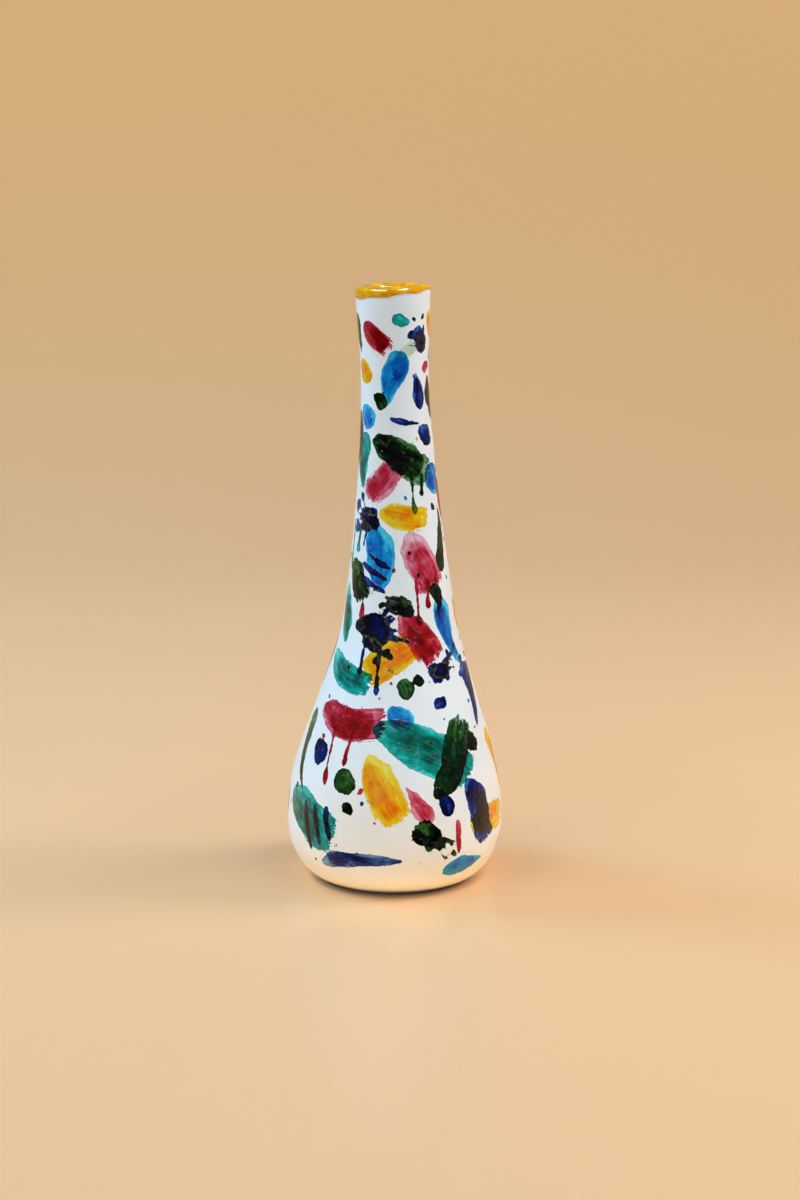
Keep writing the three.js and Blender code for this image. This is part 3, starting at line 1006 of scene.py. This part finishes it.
class CRUET_OT_clay_body(bpy.types.Operator):
    """Turns the clay shell, with its bare foot ring"""

    bl_idname = "cruet.clay_body"
    bl_label = "Clay body"

    def execute(self, context):
        shape = context.scene.cruet_shape
        coat = shape.glaze + shape.layer_gap
        floor = shape.floor_height - coat
        hole = shape.foot_radius - shape.foot_width
        heel = outside_heel(shape, coat)
        soft = 0.5 * MM
        recess = shape.foot_recess
        runs = [
            line((0, recess), (hole - recess - 2 * soft, recess)),
            Run(
                Vector((hole - recess - 2 * soft, recess)),
                Vector((hole - recess, recess)),
                Vector((hole - 2 * soft, 0)),
                Vector((hole, 0)),
            ),
            line((hole, 0), (shape.foot_radius - soft, 0)),
            Run(
                Vector((shape.foot_radius - soft, 0)),
                Vector((shape.foot_radius + soft, 0)),
                heel.start + Vector((-2 * soft, -soft)),
                heel.start,
            ),
            heel,
            *wall_runs(shape, coat),
            lip_arc(shape, coat, 0, UPRIGHT),
            lip_arc(shape, coat, UPRIGHT, math.pi),
            *backwards(wall_runs(shape, shape.wall - coat)),
            *backwards([inside_heel(shape, coat)]),
            line((shape.foot_radius - shape.wall, floor), (0, floor)),
        ]
        piece = draw_profile("thrown_clay", runs, CLAY_STEP)
        turn_on_wheel(CLAY_COLUMNS)
        settle_by_hand(piece, shape)
        finish_piece(piece, bare_earthenware(context.scene.cruet_colours), "clay_body")
        return {"FINISHED"}


class CRUET_OT_outer_glaze(bpy.types.Operator):
    """Coats the outside with white glaze and brushes the colours on"""

    bl_idname = "cruet.outer_glaze"
    bl_label = "Outer glaze"

    def execute(self, context):
        shape = context.scene.cruet_shape
        under = shape.glaze
        stop = UPRIGHT - shape.coat_stop
        over = [outside_heel(shape), *wall_runs(shape), lip_arc(shape, 0, 0, stop)]
        back = [outside_heel(shape, under), *wall_runs(shape, under), lip_arc(shape, under, 0, stop)]
        crest = line(over[-1].end, back[-1].end)
        heel = line(back[0].start, over[0].start)
        shown = draw_profile("painted_glaze", over, GLAZE_STEP)
        hidden = draw_profile("glaze_back", [crest, *backwards(back)], GLAZE_BACK_STEP)
        edge = draw_profile("glaze_edge", [heel], GLAZE_EDGE_STEP)
        bpy.ops.object.select_all(action="DESELECT")
        for part in (hidden, edge, shown):
            part.select_set(True)
        bpy.context.view_layer.objects.active = shown
        bpy.ops.object.join()
        turn_on_wheel(GLAZE_COLUMNS)
        unroll(shown, shape)
        paint(shown, shape)
        settle_by_hand(shown, shape)
        finish_piece(shown, white_tin_glaze(context.scene.cruet_colours), "outer_glaze")
        return {"FINISHED"}


class CRUET_OT_lining_glaze(bpy.types.Operator):
    """Pours the white lining that keeps the oil out of the clay"""

    bl_idname = "cruet.lining_glaze"
    bl_label = "Lining glaze"

    def execute(self, context):
        shape = context.scene.cruet_shape
        stop = UPRIGHT + shape.coat_stop
        floor = shape.floor_height
        foot = shape.foot_radius - shape.wall
        back = [
            line((0, floor - shape.glaze), (foot, floor - shape.glaze)),
            inside_heel(shape, shape.glaze),
            *wall_runs(shape, shape.wall - shape.glaze),
            lip_arc(shape, shape.glaze, math.pi, stop),
        ]
        shown = [
            line((0, floor), (foot, floor)),
            inside_heel(shape),
            *wall_runs(shape, shape.wall),
            lip_arc(shape, 0, math.pi, stop),
        ]
        runs = [*back, line(back[-1].end, shown[-1].end), *backwards(shown)]
        piece = draw_profile("poured_lining", runs, LINING_STEP)
        turn_on_wheel(LINING_COLUMNS)
        settle_by_hand(piece, shape)
        finish_piece(piece, plain_white_glaze(context.scene.cruet_colours), "lining_glaze")
        return {"FINISHED"}


class CRUET_OT_lip_glaze(bpy.types.Operator):
    """Brushes the thick yellow glaze over the lip"""

    bl_idname = "cruet.lip_glaze"
    bl_label = "Lip glaze"

    def execute(self, context):
        shape = context.scene.cruet_shape
        begin = lip_begin(shape)
        gap = shape.layer_gap
        wide = shape.wall / 2 + gap
        tall = shape.lip_rise + gap
        # About how far it is from the crest to where the lip begins
        quarter = UPRIGHT * math.sqrt((wide**2 + tall**2) / 2)
        runs = [
            line((begin.x + wide, begin.y + quarter - shape.band_reach), (begin.x + wide, begin.y)),
            lip_arc(shape, -gap, 0, UPRIGHT),
            lip_arc(shape, -gap, UPRIGHT, math.pi),
            line((begin.x - wide, begin.y), (begin.x - wide, begin.y + quarter - shape.band_inside)),
        ]
        piece = draw_profile("brushed_lip", runs, LIP_STEP)
        turn_on_wheel(LIP_COLUMNS)
        thinnest = 0.45
        load = piece.vertex_groups.new(name="load")
        for vertex in piece.data.vertices:
            place = vertex.co
            turn = math.atan2(place.y, place.x)
            out = (math.hypot(place.x, place.y) - begin.x) / wide
            tip = math.atan2(out, max(0, place.z - begin.y) / tall)
            along = tip / UPRIGHT * quarter + max(0, begin.y - place.z)
            if tip > 0:
                # The outer half runs down to the brushed edge
                droop = shape.band_droop * math.cos(turn - shape.band_low_side)
                ripple = shape.band_ripple * math.cos(shape.band_waves * (turn - shape.band_mark))
                along *= (shape.band_reach + droop + ripple) / shape.band_reach
                tip = UPRIGHT * min(1, along / quarter)
                radius = begin.x + wide * math.sin(tip)
                place.x = radius * math.cos(turn)
                place.y = radius * math.sin(turn)
                place.z = begin.y + tall * math.cos(tip) - max(0, along - quarter)
            # The coat thins towards that edge
            share = thinnest + (1 - thinnest) * abs(tip / UPRIGHT - 1) ** 0.5
            load.add([vertex.index], min(1, share), "REPLACE")
        bpy.ops.object.mode_set(mode="EDIT")
        bpy.ops.mesh.select_all(action="SELECT")
        bpy.ops.mesh.normals_make_consistent(inside=False)
        bpy.ops.object.mode_set(mode="OBJECT")
        add_modifier(piece, "SOLIDIFY", thickness=shape.lip_glaze, offset=1.0, vertex_group=load.name)
        piece.vertex_groups.clear()
        add_modifier(piece, "SUBSURF", levels=1, render_levels=1)
        add_swells(piece, shape.lip_lump_size, shape.lip_lumps)
        settle_by_hand(piece, shape)
        finish_piece(piece, yellow_lip_glaze(context.scene.cruet_colours), "lip_glaze")
        return {"FINISHED"}


class CRUET_OT_stage(bpy.types.Operator):
    """Sets the plain floor, the soft lights and the camera"""

    bl_idname = "cruet.stage"
    bl_label = "Stage"

    def execute(self, context):
        stage = context.scene.cruet_stage
        self.sweep(stage)
        self.lights(context, stage)
        self.camera(context, stage)
        context.scene.view_settings.view_transform = "Standard"
        return {"FINISHED"}

    def sweep(self, stage):
        """A floor of satin paper that curves up behind the bottle. It is smooth, with a faint sheen."""
        size, depth, rise, bend = 8.0, 1.6, 3.0, 0.9
        bend_steps = 32
        near = 0.01
        bpy.ops.object.select_all(action="DESELECT")
        bpy.ops.mesh.primitive_plane_add(size=size, location=(0, depth - size / 2, 0))
        floor = bpy.context.object
        floor.name = "studio_sweep"
        bpy.ops.object.transform_apply()
        bpy.ops.object.mode_set(mode="EDIT")
        bpy.ops.mesh.select_all(action="DESELECT")
        bpy.ops.object.mode_set(mode="OBJECT")
        for edge in floor.data.edges:
            edge.select = all(floor.data.vertices[i].co.y > depth - near for i in edge.vertices)
        bpy.ops.object.mode_set(mode="EDIT")
        bpy.ops.mesh.select_mode(type="EDGE")
        bpy.ops.mesh.extrude_region_move(TRANSFORM_OT_translate={"value": (0, 0, rise)})
        bpy.ops.mesh.select_all(action="DESELECT")
        bpy.ops.object.mode_set(mode="OBJECT")
        for edge in floor.data.edges:
            ends = [floor.data.vertices[i].co for i in edge.vertices]
            edge.select = all(end.y > depth - near and end.z < near for end in ends)
        bpy.ops.object.mode_set(mode="EDIT")
        bpy.ops.mesh.bevel(offset=bend, segments=bend_steps, affect="EDGES")
        bpy.ops.mesh.select_all(action="SELECT")
        bpy.ops.mesh.normals_make_consistent(inside=True)
        bpy.ops.object.mode_set(mode="OBJECT")
        bpy.ops.object.shade_smooth()
        material, tree = new_material("satin_paper")
        paper = add_node(tree, "BsdfPrincipled", {"Base Color": tuple(stage.floor), "Roughness": 0.32})
        even = add_node(tree, "Emission", {"Color": tuple(stage.backdrop)})
        place = add_node(tree, "TexCoord").outputs["Object"]
        rays = add_node(tree, "LightPath").outputs
        # Painted reflection: in the bottle's gloss, the floor before it shows near black, as a black card
        # there would, so the colours stay deep
        # Near-black colour seen only in glossy rays, a painted dark reflection rather than a real card or
        # felt
        dark_floor_reflection = add_node(tree, "BsdfDiffuse", {"Color": linear("#0c0c0d")})
        ahead = add_node(tree, "SeparateXYZ", {0: place}).outputs["Y"]
        before = add_node(tree, "MapRange", {0: ahead, 1: -30 * MM, 2: -60 * MM})
        mirrored = add_node(tree, "Math", {0: before, 1: rays["Is Glossy Ray"]}, operation="MULTIPLY")
        floor_shade = add_node(tree, "MixShader", {0: mirrored, 1: paper, 2: dark_floor_reflection})
        # Far off, the camera sees an even tone with no horizon
        away = add_node(tree, "VectorMath", {0: place}, operation="LENGTH").outputs["Value"]
        fade = {0: away, 1: stage.backdrop_near, 2: stage.backdrop_far}
        far = add_node(tree, "MapRange", fade, interpolation_type="SMOOTHSTEP")
        seen = add_node(tree, "Math", {0: far, 1: rays["Is Camera Ray"]}, operation="MULTIPLY")
        surface = add_node(tree, "MixShader", {0: seen, 1: floor_shade, 2: even})
        add_node(tree, "OutputMaterial", {"Surface": surface})
        floor.data.materials.append(material)

    def lights(self, context, stage):
        """Soft lamps, strips overhead whose glints the gloss shows, a warm glow off the floor and an even
        room light."""
        aim = Vector((0, 0, stage.lamp_aim))
        softbox, strip, wide = (0.6, 0.6), (1.0, 0.15), (3.4, 3.4)
        overhead, glint = stage.top_power / 2, stage.glint_power / 2
        lamps = (
            Lamp("left_softbox", (-1.05, 0.4, 0.8), softbox, stage.left_power, "#91ceff", True, False),
            Lamp("right_softbox", (1.05, 0.1, 0.85), softbox, stage.right_power, "#f0f5ff", True, False),
            Lamp("left_strip", (-0.8, -0.45, 1.5), strip, overhead, "#eefbff", True, True),
            Lamp("right_strip", (0.6, -0.45, 1.55), strip, overhead, "#eefbff", True, True),
            Lamp("left_glint", (-0.8, -0.45, 1.52), strip, glint, "#ffffff", False, True),
            Lamp("right_glint", (0.6, -0.45, 1.57), strip, glint, "#ffffff", False, True),
            Lamp("room_fill", (-0.9, -3.6, 2.2), wide, stage.front_power, "#94d4ff", True, False),
        )
        for lamp in lamps:
            bpy.ops.object.light_add(type="AREA", location=lamp.place)
            made = context.object
            made.name = lamp.name
            made.data.shape = "RECTANGLE"
            made.data.size, made.data.size_y = lamp.size
            made.data.energy = lamp.power
            made.data.color = linear(lamp.tone)[:3]
            made.visible_diffuse = lamp.lit
            made.visible_glossy = lamp.mirrored
            made.rotation_euler = (aim - Vector(lamp.place)).to_track_quat("-Z", "Y").to_euler()
        # The glow of the floor on the foot and the belly
        under = (0, -20 * MM, 3 * MM)
        bpy.ops.object.light_add(type="AREA", location=under, rotation=(math.pi, 0, 0))
        glow = context.object
        glow.name = "floor_glow"
        glow.data.shape = "DISK"
        glow.data.size = stage.glow_width
        glow.data.energy = stage.glow_power
        glow.data.color = linear("#ffc455")[:3]
        glow.visible_camera = False
        glow.visible_glossy = False
        world = bpy.data.worlds.new("room")
        world.use_nodes = True
        context.scene.world = world
        tree = world.node_tree
        tree.nodes.clear()
        room = add_node(tree, "Background", {"Color": linear("#e8f1fb"), "Strength": stage.room_strength})
        even = add_node(tree, "Background", {"Color": tuple(stage.backdrop)})
        rays = add_node(tree, "LightPath").outputs["Is Camera Ray"]
        mixed = add_node(tree, "MixShader", {0: rays, 1: room, 2: even})
        add_node(tree, "OutputWorld", {"Surface": mixed})

    def camera(self, context, stage):
        """The photograph's viewpoint."""
        aim = Vector((stage.aim_side, 0, stage.aim_height))
        back = Vector((0, -math.cos(stage.elevation), math.sin(stage.elevation)))
        bpy.ops.object.camera_add(location=aim + back * stage.distance)
        camera = context.object
        camera.rotation_euler = (UPRIGHT - stage.elevation, 0, 0)
        camera.data.sensor_width = 36
        camera.data.lens = stage.lens
        context.scene.camera = camera


class CRUET_PT_panel(bpy.types.Panel):
    """Lists the cruet's steps and sizes"""

    bl_idname = "CRUET_PT_panel"
    bl_label = "Oil cruet"
    bl_space_type = "VIEW_3D"
    bl_region_type = "UI"
    bl_category = "Cruet"

    def draw(self, context):
        for step in STEPS:
            self.layout.operator(step.bl_idname)
        for group in (context.scene.cruet_shape, context.scene.cruet_colours, context.scene.cruet_stage):
            box = self.layout.box()
            for key in group.bl_rna.properties.keys():
                if key not in ("rna_type", "name"):
                    box.prop(group, key)


STEPS = (
    CRUET_OT_clay_body,
    CRUET_OT_outer_glaze,
    CRUET_OT_lining_glaze,
    CRUET_OT_lip_glaze,
    CRUET_OT_stage,
)
GROUPS = {"cruet_shape": CruetShape, "cruet_colours": CruetColours, "cruet_stage": CruetStage}


def register():
    for group in GROUPS.values():
        bpy.utils.register_class(group)
    for step in (*STEPS, CRUET_PT_panel):
        bpy.utils.register_class(step)
    for name, group in GROUPS.items():
        setattr(bpy.types.Scene, name, bpy.props.PointerProperty(type=group))


def unregister():
    for name in GROUPS:
        delattr(bpy.types.Scene, name)
    for step in reversed((*GROUPS.values(), *STEPS, CRUET_PT_panel)):
        bpy.utils.unregister_class(step)


def main():
    register()
    bpy.ops.cruet.clay_body()
    bpy.ops.cruet.outer_glaze()
    bpy.ops.cruet.lining_glaze()
    bpy.ops.cruet.lip_glaze()
    bpy.ops.cruet.stage()


if __name__ == "__main__":
    main()
